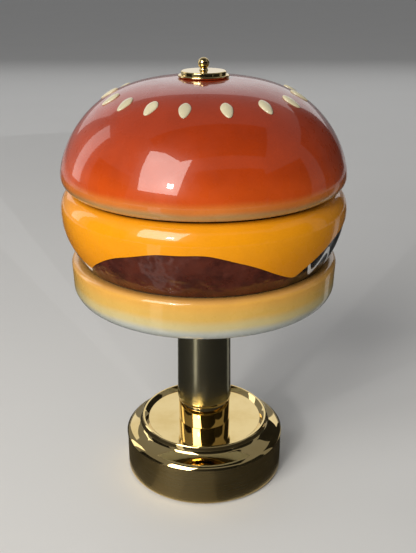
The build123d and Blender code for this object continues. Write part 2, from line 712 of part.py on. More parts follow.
def dome_curve(skin, start_r):
    """Curve of the dome from a radius near the crown to its widest point."""
    radii = [start_r + (0.75 * DOME_R - start_r) * k / 4 for k in range(5)]
    points = [(r, dome_height(r, skin)) for r in radii]
    low = points[-1][1]
    heights = [DOME_Z + (low - DOME_Z) * share for share in (0.6, 0.25, 0.0)]
    points += [(dome_radius(z, skin), z) for z in heights]
    return Spline(*points, tangents=[(1, -0.01), (0, -1)])


def top_bun():
    """Glass dome with a rolled lower lip, a turned-in flange and a crown hole."""
    def lip(skin):
        """Rolled lip below the widest point, moved inwards by skin."""
        return quarter((GROOVE_R, DOME_Z), DOME_R - skin - GROOVE_R, LIP_H - skin, low_side=True)

    return turned(
        dome_curve(0, CROWN_R),
        lip(0),
        Line((GROOVE_R, BUN_Z), (FLANGE_IN_R, BUN_Z)),
        Line((FLANGE_IN_R, BUN_Z), (FLANGE_IN_R, BUN_Z + GLASS)),
        Line((FLANGE_IN_R, BUN_Z + GLASS), (GROOVE_R, BUN_Z + GLASS)),
        lip(GLASS),
        dome_curve(GLASS, CROWN_R),
        Line((CROWN_R, dome_height(CROWN_R, GLASS)), (CROWN_R, dome_height(CROWN_R))),
    )


def seed_body():
    """Drop with its axis along +Y and its tip at +Y; only its crown stands out of the glass."""
    half, proud = SEED_W / 2, SEED_PROUD
    radius = (half**2 + proud**2) / (2 * proud)
    sink = radius - proud
    blunt = SEED_LEN * 0.37
    tip = SEED_LEN - blunt
    drop = Bezier((0, radius), (tip * 0.45, radius), (tip * 0.7, sink + 0.25), (tip + 1, sink - 0.6))
    back = EllipticalCenterArc((0, 0), blunt * 1.4, radius, 90, arc_size=90)
    outline = [back, drop, Line((tip + 1, sink - 0.6), (tip + 1, 0)), Line((tip + 1, 0), (-blunt * 1.4, 0))]
    body = revolve(make_face(Curve() + outline), Axis.X)
    return Pos(0, 0, -sink) * Rot(0, 0, 90) * body


def sesame_seeds():
    """Seeds moulded on the dome in one ring, their tips towards the crown."""
    slope = math.degrees(math.atan2(dome_height(SEED_RING_R - 1) - dome_height(SEED_RING_R + 1), 2))
    core = turned(
        dome_curve(0, CROWN_R),
        Line((DOME_R, DOME_Z), (CROWN_R, DOME_Z)),
        Line((CROWN_R, DOME_Z), (CROWN_R, dome_height(CROWN_R))),
    )
    front = Pos(0, -SEED_RING_R, dome_height(SEED_RING_R)) * Rot(slope, 0, 0) * seed_body() - core
    return group([Rot(0, 0, azimuth) * front for azimuth in SEED_FRONT + SEED_BACK])


def lower_gasket():
    """Soft ring between bottom bun and patty ring."""
    foot = side_radius(RING_Z, CHEESE_T)
    return tube(foot - 0.3, foot - GLASS, PAN_TOP + SEAT, RING_Z - SEAT)


def upper_gasket():
    """Soft ring between patty ring and top bun."""
    return tube(GROOVE_R - 1.6, FLANGE_IN_R + 0.5, RING_TOP + SEAT, BUN_Z - SEAT)


# ---- finial --------------------------------------------------------------------------------------
def crown_washer():
    """Washer under the finial, held in the cap's recess."""
    return tube(WASHER_R, CAP_BOSS_R + EASE, CROWN_Z + SEAT, CROWN_Z + WASHER_T)


def finial_cap():
    """Stepped cap with a threaded boss that reaches through the crown onto the rod."""
    step, flange_top = CAP_Z + CAP_FLANGE_T, CAP_Z + CAP_FLANGE_T
    recess = CROWN_Z + WASHER_T + SEAT
    bead = CAP_FLANGE_T / 2
    return turned(
        Line((0, CAP_TOP), (CAP_R - 0.7, CAP_TOP)),
        CenterArc((CAP_R - 0.7, CAP_TOP - 0.7), 0.7, 0, 90),
        Line((CAP_R, CAP_TOP - 0.7), (CAP_R, step)),
        Line((CAP_R, step), (CAP_FLANGE_R - bead, flange_top)),
        CenterArc((CAP_FLANGE_R - bead, CAP_Z + bead), bead, 270, 180),
        Polyline(
            (CAP_FLANGE_R - bead, CAP_Z),
            (WASHER_R + EASE, CAP_Z),
            (WASHER_R + EASE, recess),
            (CAP_BOSS_R, recess),
            (CAP_BOSS_R, BOSS_BOTTOM),
            (ROD_R + FIT, BOSS_BOTTOM),
            (ROD_R + FIT, ROD_TOP + 0.3),
            (0, ROD_TOP + 0.3),
            (0, CAP_TOP),
        ),
    )


def finial_knob():
    """Ball on a flared neck, standing on the cap."""
    centre = CAP_TOP + KNOB_UP
    join = centre - math.sqrt(KNOB_R**2 - NECK_R**2)
    foot = CAP_TOP + SEAT
    start = -math.degrees(math.acos(NECK_R / KNOB_R))
    return turned(
        CenterArc((0, centre), KNOB_R, start, 90 - start),
        ThreePointArc((NECK_R, join), (NECK_R + 0.1, (join + foot) / 2 + 0.15), (NECK_R + 0.65, foot)),
        Line((NECK_R + 0.65, foot), (0, foot)),
        Line((0, foot), (0, centre + KNOB_R)),
    )


PIECES = [
    base_drum, base_ring, base_plate, ballast, bottom_cover, cover_screws, foot_pad, control_board,
    board_components, usb_socket, port_bezel, charge_light, button_housing, button_nut,
    power_button, button_spring, stem_collar, stem_nut, tube_ferrule, stem_tube, stem_head,
    lower_cell_cup, battery_cell, upper_cell_cup, battery_lead, lamp_lead, shade_tray, tray_screws,
    seat_gasket, heat_sink, led_boards, led_chips, diffuser, shade_rod, rod_nut, bottom_bun,
    lower_gasket, patty_ring, cheese_slice, upper_gasket, top_bun, sesame_seeds, crown_washer,
    finial_cap, finial_knob,
]


def main():
    """Builds every piece and writes one STEP file for each."""
    os.makedirs("parts", exist_ok=True)
    for make in PIECES:
        export_step(make(), f"parts/{make.__name__}.step")
        print(make.__name__)


main()
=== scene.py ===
"""Looks of the hamburger table lamp: glass shade, brass stem and base, light source and studio."""

import json
import logging
import math
from dataclasses import dataclass, field
from enum import Enum

import bmesh
import bpy
from mathutils import Matrix, Vector, noise


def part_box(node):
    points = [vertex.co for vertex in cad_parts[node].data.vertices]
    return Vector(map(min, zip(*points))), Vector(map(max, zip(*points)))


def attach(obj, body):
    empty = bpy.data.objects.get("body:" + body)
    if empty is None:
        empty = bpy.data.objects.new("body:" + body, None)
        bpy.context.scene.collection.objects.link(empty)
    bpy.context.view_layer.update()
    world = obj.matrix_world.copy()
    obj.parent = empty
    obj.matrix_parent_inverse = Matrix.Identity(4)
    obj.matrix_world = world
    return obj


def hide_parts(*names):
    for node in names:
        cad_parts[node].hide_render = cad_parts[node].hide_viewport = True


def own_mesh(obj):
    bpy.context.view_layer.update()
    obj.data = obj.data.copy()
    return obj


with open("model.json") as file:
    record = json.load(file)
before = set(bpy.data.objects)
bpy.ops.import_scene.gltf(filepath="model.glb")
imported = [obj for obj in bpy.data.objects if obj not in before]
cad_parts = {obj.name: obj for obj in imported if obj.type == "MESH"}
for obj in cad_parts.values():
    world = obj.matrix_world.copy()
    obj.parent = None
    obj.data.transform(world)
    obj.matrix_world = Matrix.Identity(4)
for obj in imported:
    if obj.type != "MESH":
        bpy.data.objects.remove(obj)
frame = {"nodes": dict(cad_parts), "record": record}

logging.basicConfig(level=logging.INFO, format="%(message)s")
LOG = logging.getLogger("lamp")

MM = 0.001
CORNER_SHARE = 0.45  # largest share of a run that one softened corner takes
WELD = 1e-7
Point = tuple[float, float]
Colour = tuple[float, float, float]


# ---- shader building --------------------------------------------------------------------------------
class Shader:
    """One material and short ways to add nodes to it."""

    def __init__(self, name: str) -> None:
        """Starts an empty node tree with a Principled shader.

        Args:
            name: Name of the material.
        """
        self.material = bpy.data.materials.new(name)
        self.material.use_nodes = True
        self.tree = self.material.node_tree
        self.tree.nodes.clear()
        output = self.tree.nodes.new("ShaderNodeOutputMaterial")
        self.surface = self.tree.nodes.new("ShaderNodeBsdfPrincipled")
        self.tree.links.new(self.surface.outputs[0], output.inputs["Surface"])

    def node(self, kind: str, **settings: object) -> bpy.types.Node:
        """Adds a node.

        Args:
            kind: Node type without the ShaderNode prefix.
            **settings: Properties to set on it.

        Returns:
            The new node.
        """
        made = self.tree.nodes.new("ShaderNode" + kind)
        for key, value in settings.items():
            setattr(made, key, value)
        return made

    def plug(self, socket: bpy.types.NodeSocket, value: object) -> None:
        """Links or sets an input.

        Args:
            socket: Input to feed.
            value: Another node's output, or a plain value.
        """
        if isinstance(value, bpy.types.NodeSocket):
            self.tree.links.new(value, socket)
        else:
            socket.default_value = value

    def place(self) -> bpy.types.NodeSocket:
        """Object coordinates, in metres."""
        return self.node("TexCoord").outputs["Object"]

    def stretch(self, scale: tuple[float, float, float]) -> bpy.types.NodeSocket:
        """Object coordinates multiplied axis by axis.

        Args:
            scale: Factor along X, Y and Z.

        Returns:
            The scaled coordinates.
        """
        mapping = self.node("Mapping")
        self.plug(mapping.inputs["Vector"], self.place())
        mapping.inputs["Scale"].default_value = scale
        return mapping.outputs[0]

    def noise(self, scale: float, detail: float = 4.0, rough: float = 0.5,
              vector: bpy.types.NodeSocket | None = None) -> bpy.types.NodeSocket:
        """Noise over the object.

        Args:
            scale: Cells per metre.
            detail: Octaves.
            rough: Weight of the finer octaves.
            vector: Coordinates to read, by default the object's.

        Returns:
            The noise value, around 0.5.
        """
        made = self.node("TexNoise")
        self.plug(made.inputs["Vector"], vector or self.place())
        made.inputs["Scale"].default_value = scale
        made.inputs["Detail"].default_value = detail
        made.inputs["Roughness"].default_value = rough
        return made.outputs[0]

    def math(self, operation: str, *values: object) -> bpy.types.NodeSocket:
        """One Math node.

        Args:
            operation: Blender's name of the operation.
            *values: Outputs or numbers for its inputs.

        Returns:
            The result.
        """
        made = self.node("Math", operation=operation)
        for socket, value in zip(made.inputs, values):
            self.plug(socket, value)
        return made.outputs[0]

    def remap(self, value: object, low: float, high: float, out_low: float = 0.0,
              out_high: float = 1.0) -> bpy.types.NodeSocket:
        """Smooth step from one range to another.

        Args:
            value: Output to remap.
            low: Where the step starts.
            high: Where it ends.
            out_low: Result at and before low.
            out_high: Result at and after high.

        Returns:
            The remapped value.
        """
        made = self.node("MapRange", interpolation_type="SMOOTHSTEP")
        for socket, number in zip(made.inputs, (value, low, high, out_low, out_high)):
            self.plug(socket, number)
        return made.outputs[0]

    def mix(self, factor: object, first: object, second: object) -> bpy.types.NodeSocket:
        """Mixes two colours.

        Args:
            factor: Share of the second colour.
            first: Colour or output.
            second: Colour or output.

        Returns:
            The mixed colour.
        """
        made = self.node("Mix", data_type="RGBA")
        self.plug(made.inputs[0], factor)
        self.plug(made.inputs[6], (*first, 1.0) if isinstance(first, tuple) else first)
        self.plug(made.inputs[7], (*second, 1.0) if isinstance(second, tuple) else second)
        return made.outputs[2]

    def bands(self, value: bpy.types.NodeSocket, stops: list[tuple[float, Colour]]) -> bpy.types.NodeSocket:
        """Colour ramp.

        Args:
            value: What runs along the ramp, 0 to 1.
            stops: Position and colour of each stop.

        Returns:
            The colour.
        """
        ramp = self.node("ValToRGB")
        ramp.color_ramp.interpolation = "EASE"
        while len(ramp.color_ramp.elements) < len(stops):
            ramp.color_ramp.elements.new(0.5)
        for element, (position, colour) in zip(ramp.color_ramp.elements, stops):
            element.position = position
            element.color = (*colour, 1.0)
        self.plug(ramp.inputs[0], value)
        return ramp.outputs[0]

    def height(self) -> bpy.types.NodeSocket:
        """Height over the table, in metres."""
        split = self.node("SeparateXYZ")
        self.plug(split.inputs[0], self.place())
        return split.outputs[2]

    def relief(self, value: bpy.types.NodeSocket, depth: float, strength: float) -> bpy.types.NodeSocket:
        """Bump from a value.

        Args:
            value: Height, 0 to 1.
            depth: Real depth of the relief in metres.
            strength: Share of it to show.

        Returns:
            The bumped normal.
        """
        bump = self.node("Bump")
        bump.inputs["Strength"].default_value = strength
        bump.inputs["Distance"].default_value = depth
        self.plug(bump.inputs["Height"], value)
        return bump.outputs[0]

    def set(self, **inputs: object) -> None:
        """Feeds the surface shader.

        Args:
            **inputs: Input names, with _ for a space, and their values.
        """
        for key, value in inputs.items():
            self.plug(self.surface.inputs[key.replace("_", " ")], value)


# ---- finishes ---------------------------------------------------------------------------------------
class Polish(Enum):
    """How a brass surface is finished."""

    MIRROR = "mirror"
    BRUSHED = "brushed"
    SATIN = "satin"


@dataclass(frozen=True)
class Brass:
    """Lacquered brass."""

    polish: Polish
    marks: float = 0.35
    colour: Colour = (0.86, 0.67, 0.32)
    dark: Colour = (0.76, 0.56, 0.23)

    def make(self, name: str) -> bpy.types.Material:
        """Builds the material.

        Args:
            name: Name of the material.

        Returns:
            The material.
        """
        s = Shader(name)
        haze = s.noise(38.0, 5.0, 0.6)
        tint = s.mix(s.remap(haze, 0.35, 0.75), self.colour, self.dark)
        if self.polish is Polish.MIRROR:
            wear = s.noise(900.0, 3.0, 0.7)
            s.set(Base_Color=tint, Roughness=s.math("ADD", s.remap(haze, 0.4, 0.8, 0.035, 0.075),
                                                    s.remap(wear, 0.62, 0.8, 0.0, 0.06)),
                  Normal=s.relief(s.noise(70.0, 2.0), 0.00012, 0.25))
        else:
            smooth, coarse = (0.20, 0.25) if self.polish is Polish.SATIN else (0.26, 0.36)
            lines = s.noise(1.0, 6.0, 0.65, s.stretch((26.0, 26.0, 5200.0)))
            fine = s.noise(1.0, 3.0, 0.6, s.stretch((60.0, 60.0, 14000.0)))
            grain = s.math("ADD", s.math("MULTIPLY", lines, 0.65), s.math("MULTIPLY", fine, 0.35))
            s.set(Base_Color=s.mix(s.remap(grain, 0.40, 0.70, 0.0, 0.6), tint, self.dark),
                  Roughness=s.remap(grain, 0.36, 0.66, smooth, coarse),
                  Normal=s.relief(grain, 0.00003, self.marks))
        s.set(Metallic=1.0)
        return s.material


@dataclass(frozen=True)
class Glaze:
    """Glossy painted glass whose colour follows the height."""

    low: float
    high: float
    stops: tuple[tuple[float, Colour], ...]
    mottle: float = 0.06

    def start(self, name: str) -> tuple[Shader, bpy.types.NodeSocket]:
        """Builds the glossy body and its airbrushed colour.

        Args:
            name: Name of the material.

        Returns:
            The shader and its colour, for more paint on top.
        """
        s = Shader(name)
        drift = s.math("MULTIPLY", s.math("SUBTRACT", s.noise(24.0, 2.0), 0.5), 0.0035)
        level = s.math("ADD", s.height(), drift)
        share = s.math("DIVIDE", s.math("SUBTRACT", level, self.low), self.high - self.low)
        colour = s.bands(share, list(self.stops))
        cloud = s.remap(s.noise(55.0, 4.0, 0.6), 0.3, 0.7, 1.0 - self.mottle, 1.0 + self.mottle)
        scale = s.node("VectorMath", operation="SCALE")
        s.plug(scale.inputs[0], colour)
        s.plug(scale.inputs["Scale"], cloud)
        s.set(Roughness=s.remap(s.noise(130.0, 3.0), 0.3, 0.7, 0.24, 0.34), IOR=1.5,
              Specular_IOR_Level=0.18, Coat_Weight=0.88, Coat_Roughness=0.03, Coat_IOR=1.52)
        waves = s.relief(s.noise(30.0, 1.5), 0.0006, 0.12)
        s.set(Normal=waves, Coat_Normal=s.relief(s.noise(18.0, 1.0), 0.0008, 0.10))
        return s, scale.outputs[0]

    def make(self, name: str) -> bpy.types.Material:
        """Builds the material.

        Args:
            name: Name of the material.

        Returns:
            The material.
        """
        s, colour = self.start(name)
        s.set(Base_Color=colour)
        return s.material


@dataclass(frozen=True)
class PattyGlaze:
    """Dark brown glass in the front and back arches, black with a plain white wave in the side arches."""

    brown: Colour = (0.098, 0.020, 0.010)
    deep: Colour = (0.054, 0.011, 0.007)
    black: Colour = (0.006, 0.006, 0.007)
    white: Colour = (0.80, 0.80, 0.78)

    def make(self, name: str) -> bpy.types.Material:
        """Builds the material.

        Args:
            name: Name of the material.

        Returns:
            The material.
        """
        s = Shader(name)
        side = s.node("Attribute", attribute_name="side").outputs["Fac"]
        wave = s.node("Attribute", attribute_name="wave").outputs["Fac"]
        meat = s.mix(s.remap(s.noise(75.0, 5.0, 0.62), 0.36, 0.64), self.deep, self.brown)
        crumb = s.mix(s.remap(s.noise(320.0, 4.0, 0.6), 0.5, 0.72), meat, (0.095, 0.020, 0.011))
        panel = s.mix(s.remap(wave, 0.46, 0.54), self.black, self.white)
        s.set(Base_Color=s.mix(s.remap(side, 0.15, 0.85), crumb, panel))
        lumps = s.math("MULTIPLY", s.noise(60.0, 3.0, 0.55), s.remap(side, 0.2, 0.8, 1.0, 0.0))
        s.set(Roughness=s.remap(s.noise(180.0, 3.0), 0.3, 0.7, 0.26, 0.42), IOR=1.5,
              Normal=s.relief(lumps, 0.0022, 0.55), Specular_IOR_Level=0.3, Coat_Weight=0.5,
              Coat_Roughness=0.13, Coat_IOR=1.5)
        return s.material


@dataclass(frozen=True)
class Rubber:
    """Matt rubber with a fine grain."""

    colour: Colour = (0.022, 0.022, 0.023)
    grain: float = 1400.0

    def make(self, name: str) -> bpy.types.Material:
        """Builds the material.

        Args:
            name: Name of the material.

        Returns:
            The material.
        """
        s = Shader(name)
        speck = s.noise(self.grain, 3.0)
        pale = tuple(min(1.0, c * 1.5 + 0.01) for c in self.colour)
        s.set(Base_Color=s.mix(s.remap(speck, 0.4, 0.7), self.colour, pale),
              Roughness=s.remap(speck, 0.3, 0.7, 0.62, 0.8), Normal=s.relief(speck, 0.00006, 0.5))
        return s.material


@dataclass(frozen=True)
class Moulded:
    """Moulded plastic, from matt to glossy."""

    colour: Colour
    rough: float

    def make(self, name: str) -> bpy.types.Material:
        """Builds the material.

        Args:
            name: Name of the material.

        Returns:
            The material.
        """
        s = Shader(name)
        skin = s.noise(700.0, 4.0, 0.6)
        shade = tuple(c * 0.86 for c in self.colour)
        s.set(Base_Color=s.mix(s.remap(skin, 0.35, 0.65), self.colour, shade),
              Roughness=s.remap(skin, 0.3, 0.7, self.rough - 0.05, self.rough + 0.07),
              Normal=s.relief(skin, 0.00005, 0.35))
        return s.material


@dataclass(frozen=True)
class BareMetal:
    """Steel, aluminium or iron."""

    colour: Colour
    rough: float = 0.3
    grain: float = 1500.0
    pits: float = 0.00002

    def make(self, name: str) -> bpy.types.Material:
        """Builds the material.

        Args:
            name: Name of the material.

        Returns:
            The material.
        """
        s = Shader(name)
        grain = s.noise(self.grain, 5.0, 0.65)
        shade = tuple(c * 0.75 for c in self.colour)
        s.set(Base_Color=s.mix(s.remap(grain, 0.35, 0.65), self.colour, shade), Metallic=1.0,
              Roughness=s.remap(grain, 0.3, 0.7, self.rough - 0.06, self.rough + 0.08),
              Normal=s.relief(grain, self.pits, 0.6))
        return s.material


# ---- mesh building ----------------------------------------------------------------------------------
@dataclass
class Outline:
    """Outline of a turned piece in (radius, height), in metres."""

    points: list[Point] = field(default_factory=list)

    def to(self, *points: Point) -> "Outline":
        """Adds straight runs.

        Args:
            *points: Ends of the runs.

        Returns:
            The outline.
        """
        self.points += points
        return self

    def arc(self, centre: Point, across: float, up: float, start: float, end: float,
            steps: int) -> "Outline":
        """Adds part of an ellipse.

        Args:
            centre: Its centre.
            across: Its half width.
            up: Its half height.
            start: First angle in degrees.
            end: Last angle in degrees.
            steps: Number of runs.

        Returns:
            The outline.
        """
        for k in range(steps + 1):
            turn = math.radians(start + (end - start) * k / steps)
            self.points.append((centre[0] + across * math.cos(turn), centre[1] + up * math.sin(turn)))
        return self

    def softened(self, radius: float, steps: int, sharpest: float) -> "Outline":
        """Rounds every corner that turns by more than an angle.

        Args:
            radius: Largest radius of a corner.
            steps: Runs per corner.
            sharpest: Corners under this many degrees stay.

        Returns:
            A new outline.
        """
        out: list[Point] = []
        last = len(self.points) - 1
        for k, point in enumerate(self.points):
            here = Vector(point)
            if k in (0, last):
                out.append(point)
                continue
            back, ahead = Vector(self.points[k - 1]) - here, Vector(self.points[k + 1]) - here
            bend = math.pi - back.angle(ahead, math.pi)
            if math.degrees(bend) < sharpest:
                out.append(point)
                continue
            longest = CORNER_SHARE * min(back.length, ahead.length)
            reach = min(radius * math.tan(bend / 2), longest)
            start, end = here + back.normalized() * reach, here + ahead.normalized() * reach
            for step in range(steps + 1):
                t = step / steps
                bow = start.lerp(here, t).lerp(here.lerp(end, t), t)
                out.append((bow.x, bow.y))
        return Outline(out)

    def turn(self, name: str, steps: int, crisp: float) -> bpy.types.Object:
        """Turns the outline about Z into a mesh.

        Args:
            name: Name of the piece.
            steps: Facets round it.
            crisp: Edges sharper than this many degrees stay crisp.

        Returns:
            The piece.
        """
        bm = bmesh.new()
        verts = [bm.verts.new((r, 0.0, z)) for r, z in self.points]
        edges = [bm.edges.new(pair) for pair in zip(verts, verts[1:])]
        bmesh.ops.spin(bm, geom=verts + edges, cent=(0, 0, 0), axis=(0, 0, 1), dvec=(0, 0, 0),
                       angle=math.tau, steps=steps, use_merge=True)
        bmesh.ops.remove_doubles(bm, verts=bm.verts, dist=WELD)
        bmesh.ops.recalc_face_normals(bm, faces=bm.faces)
        return finish_mesh(bm, name, crisp)


def finish_mesh(bm: bmesh.types.BMesh, name: str, crisp: float = 40.0) -> bpy.types.Object:
    """Turns a bmesh into a smooth-shaded object.

    Args:
        bm: The mesh, which is freed.
        name: Name of the piece.
        crisp: Edges sharper than this many degrees stay crisp.

    Returns:
        The piece.
    """
    mesh = bpy.data.meshes.new(name)
    bm.to_mesh(mesh)
    bm.free()
    mesh.shade_smooth()
    mesh.set_sharp_from_angle(angle=math.radians(crisp))
    made = bpy.data.objects.new(name, mesh)
    bpy.context.scene.collection.objects.link(made)
    return made


def facing_out(piece: bpy.types.Object, inside: Vector) -> None:
    """Makes an open skin's faces point away from a point inside it.

    Args:
        piece: The skin.
        inside: A point that its faces turn away from.
    """
    bm = bmesh.new()
    bm.from_mesh(piece.data)
    votes = sum((f.calc_center_median() - inside).dot(f.normal) * f.calc_area() for f in bm.faces)
    if votes < 0:
        bmesh.ops.reverse_faces(bm, faces=bm.faces)
    bm.to_mesh(piece.data)
    bm.free()


def thicken(piece: bpy.types.Object, wall: float, soften: float = 0.0) -> None:
    """Gives an open skin its wall, inwards, and may soften the rim.

    Args:
        piece: The skin.
        wall: Thickness in metres.
        soften: Radius of the rim's edges.
    """
    solid = piece.modifiers.new("wall", "SOLIDIFY")
    solid.thickness = wall
    solid.offset = -1.0
    solid.use_even_offset = True
    if soften:
        bevel = piece.modifiers.new("rim", "BEVEL")
        bevel.width = soften
        bevel.segments = 3
        bevel.limit_method = "ANGLE"
        bevel.angle_limit = math.radians(50)


def dress(piece: bpy.types.Object, material: bpy.types.Material) -> None:
    """Gives a piece one material in all its slots.

    Args:
        piece: The piece.
        material: Its finish.
    """
    if not piece.data.materials:
        piece.data.materials.append(material)
    for slot in piece.material_slots:
        slot.material = material


def stand_for(piece: bpy.types.Object, node: str, body: str) -> None:
    """Puts a new piece in the place of a CAD node.

    Args:
        piece: The piece.
        node: The node that it replaces.
        body: The body that it rides on.
    """
    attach(piece, body)
    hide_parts(node)
    LOG.info("%s: %d faces, in place of %s", piece.name, len(piece.data.polygons), node)


# ---- shade ------------------------------------------------------------------------------------------
@dataclass
class TopBun:
    """Glass dome with a rolled lip, and the seeds moulded on it."""

    wall: float = 3.0 * MM
    lip_height: float = 7.4 * MM
    groove_r: float = 74.1 * MM
    flange_r: float = 66.5 * MM
    crown_r: float = 6.0 * MM
    across: float = 3.0
    up: float = 1.6
    seed_ring: float = 52.7 * MM
    seed_length: float = 11.3 * MM
    seed_width: float = 6.2 * MM
    seed_proud: float = 1.3 * MM
    seed_azimuths: tuple[int, ...] = (
        -70, -50, -30, -10, 13, 37, 61, 84, 107, 130, 152, 174, 196, 219, 243, 267,
    )
    seed_facets: tuple[int, int] = (28, 18)
    facets: int = 256
    seed_tip_pinch: float = 0.42
    seed_foot_pinch: float = 0.10
    seed_bulge: float = 1.06
    seed_shift: float = 0.13
    seed_lean: float = 4.0
    crown_rows: int = 44
    side_rows: int = 25
    side_crowding: float = 1.3
    turning: float = 0.80

    def __post_init__(self) -> None:
        """Reads the dome's size from the frame."""
        low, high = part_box("top_bun")
        self.radius = high[0]
        self.foot = low[2]
        self.top = high[2]
        self.belt = self.foot + self.lip_height

    def height_at(self, radius: float) -> float:
        """Height of the dome's surface at a radius."""
        share = min(1.0, radius / self.radius)
        return self.belt + (self.top - self.belt) * (1 - share**self.across) ** (1 / self.up)

    def radius_at(self, share: float) -> float:
        """Radius of the dome at a share of its height."""
        return self.radius * (1 - share**self.up) ** (1 / self.across)

    def dome(self) -> bpy.types.Object:
        """Builds the shell.

        Returns:
            The piece.
        """
        outline = Outline()
        for k in range(self.crown_rows + 1):
            r = self.crown_r + (self.turning * self.radius - self.crown_r) * k / self.crown_rows
            outline.to((r, self.height_at(r)))
        knee = (self.height_at(self.turning * self.radius) - self.belt) / (self.top - self.belt)
        for k in range(1, self.side_rows):
            share = knee * (1 - k / self.side_rows) ** self.side_crowding
            outline.to((self.radius_at(share), self.belt + (self.top - self.belt) * share))
        lip = self.radius - self.groove_r
        outline.arc((self.groove_r, self.belt), lip, self.belt - self.foot, 0, -90, 14)
        outline.to((self.flange_r, self.foot))
        piece = outline.turn("top_bun_shell", self.facets, 60)
        facing_out(piece, Vector((0, 0, self.belt)))
        thicken(piece, self.wall)
        return piece

    def seeds(self) -> bpy.types.Object:
        """Builds the seeds: drops with their tips towards the crown.

        Returns:
            The piece.
        """
        bm = bmesh.new()
        fall = self.height_at(self.seed_ring - MM) - self.height_at(self.seed_ring + MM)
        tilt = Matrix.Rotation(math.atan2(fall, 2 * MM), 4, "X")
        at = Matrix.Translation((0, -self.seed_ring, self.height_at(self.seed_ring)))
        upright = Matrix.Rotation(math.pi / 2, 4, "X")
        around, along_rows = self.seed_facets
        for k, azimuth in enumerate(self.seed_azimuths):
            fresh = bmesh.ops.create_uvsphere(bm, u_segments=around, v_segments=along_rows, radius=1.0,
                                              matrix=upright)["verts"]
            for v in fresh:
                along = v.co.y
                tip, foot = max(0.0, along), max(0.0, -along)
                pinch = 1.0 - self.seed_tip_pinch * tip ** 1.3 - self.seed_foot_pinch * foot ** 2
                v.co = Vector((v.co.x * pinch * self.seed_width / 2 * self.seed_bulge,
                               (along * 0.5 + self.seed_shift * (1 - along * along)) * self.seed_length,
                               v.co.z * (0.75 + 0.25 * pinch) * self.seed_proud))
            lean = Matrix.Rotation(math.radians(self.seed_lean * math.sin(k * 2.3)), 4, "Z")
            turn = Matrix.Rotation(math.radians(azimuth), 4, "Z")
            bmesh.ops.transform(bm, matrix=turn @ at @ tilt @ lean, verts=fresh)
        bmesh.ops.recalc_face_normals(bm, faces=bm.faces)
        return finish_mesh(bm, "seed_drops", 80)

    def build(self) -> None:
        """Builds and dresses the dome and the seeds."""
        glaze = Glaze(self.foot, self.top, (
            (0.0, (0.38, 0.27, 0.14)), (0.055, (0.47, 0.27, 0.10)), (0.115, (0.61, 0.17, 0.026)),
            (0.20, (0.54, 0.068, 0.006)), (0.42, (0.43, 0.046, 0.004)), (0.75, (0.34, 0.034, 0.005)),
            (1.0, (0.30, 0.030, 0.006)),
        ))
        dome = self.dome()
        dress(dome, glaze.make("bun_glaze"))
        stand_for(dome, "top_bun", "shade")
        cream = Glaze(self.belt, self.top, ((0.0, (0.60, 0.52, 0.33)), (1.0, (0.66, 0.60, 0.40))), 0.10)
        seeds = self.seeds()
        dress(seeds, cream.make("seed_glaze"))
        stand_for(seeds, "sesame_seeds", "shade")


